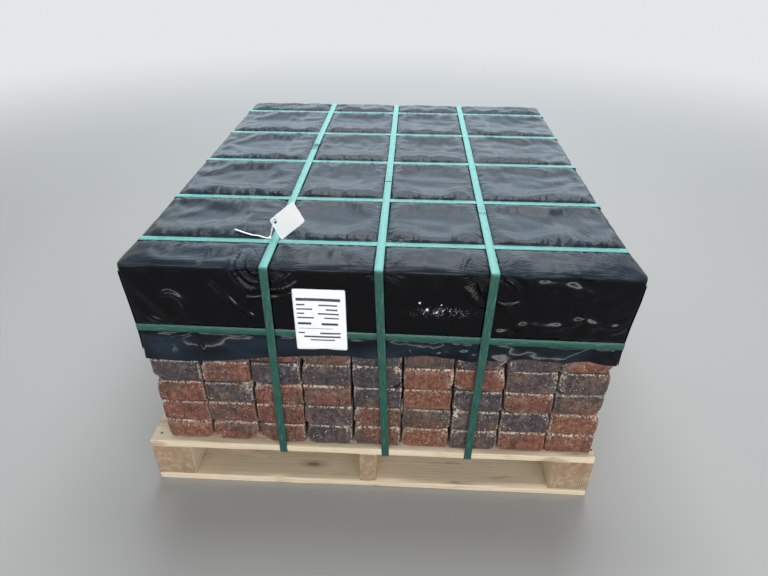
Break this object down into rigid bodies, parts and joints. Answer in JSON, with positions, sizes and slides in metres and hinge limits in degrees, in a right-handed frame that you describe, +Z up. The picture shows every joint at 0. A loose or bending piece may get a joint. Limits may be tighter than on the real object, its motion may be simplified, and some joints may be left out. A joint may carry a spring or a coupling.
{
  "type": "pallet of paving stones",
  "caption": "Wooden pallet loaded with tumbled concrete pavers under a black film cover, held by green plastic straps, with a blank-style label and a tag.",
  "frame": {"origin": "on the ground under the middle of the pallet", "axes": "+X to the right along the front, +Y from front to back along the stringers, +Z up"},
  "size_m": [0.99, 1.0944, 0.6583],
  "materials": {
    "pallet_timber": "dressed softwood, dry, weathered cream with grey-brown end grain",
    "pallet_boards": "rough-sawn softwood boards, pale cream, nailed",
    "paver_concrete": "tumbled concrete, blended red-brown, brown and charcoal, rough with pale worn edges",
    "cover_film": "thin black polyethylene film, soft sheen, creased and slightly dusty",
    "strap_plastic": "embossed green polyester strapping, satin",
    "label_paper": "white coated paper label with plain printed bars",
    "tag_card": "white synthetic card, smooth",
    "tie_plastic": "white nylon cable tie"
  },
  "bodies": {
    "root": {"stringer_left": "pallet_timber", "stringer_centre": "pallet_timber", "stringer_right": "pallet_timber", "deck_board_1": "pallet_boards", "deck_board_2": "pallet_boards", "deck_board_3": "pallet_boards", "deck_board_4": "pallet_boards", "deck_board_5": "pallet_boards", "deck_board_6": "pallet_boards", "deck_board_7": "pallet_boards", "bottom_board_1": "pallet_boards", "bottom_board_2": "pallet_boards", "bottom_board_3": "pallet_boards", "bottom_board_4": "pallet_boards", "bottom_board_5": "pallet_boards", "paver_layer_1": "paver_concrete", "paver_layer_2": "paver_concrete", "paver_layer_3": "paver_concrete", "paver_layer_4": "paver_concrete", "paver_layer_5": "paver_concrete", "paver_layer_6": "paver_concrete", "paver_layer_7": "paver_concrete", "paver_layer_8": "paver_concrete", "paver_core": "paver_concrete", "cover": "cover_film", "strap_cross_1": "strap_plastic", "strap_cross_2": "strap_plastic", "strap_cross_3": "strap_plastic", "strap_cross_4": "strap_plastic", "strap_cross_5": "strap_plastic", "strap_long_1": "strap_plastic", "strap_long_2": "strap_plastic", "strap_long_3": "strap_plastic", "strap_belt": "strap_plastic", "label": "label_paper", "tag": "tag_card", "tag_tie": "tie_plastic"}
  },
  "joints": []
}
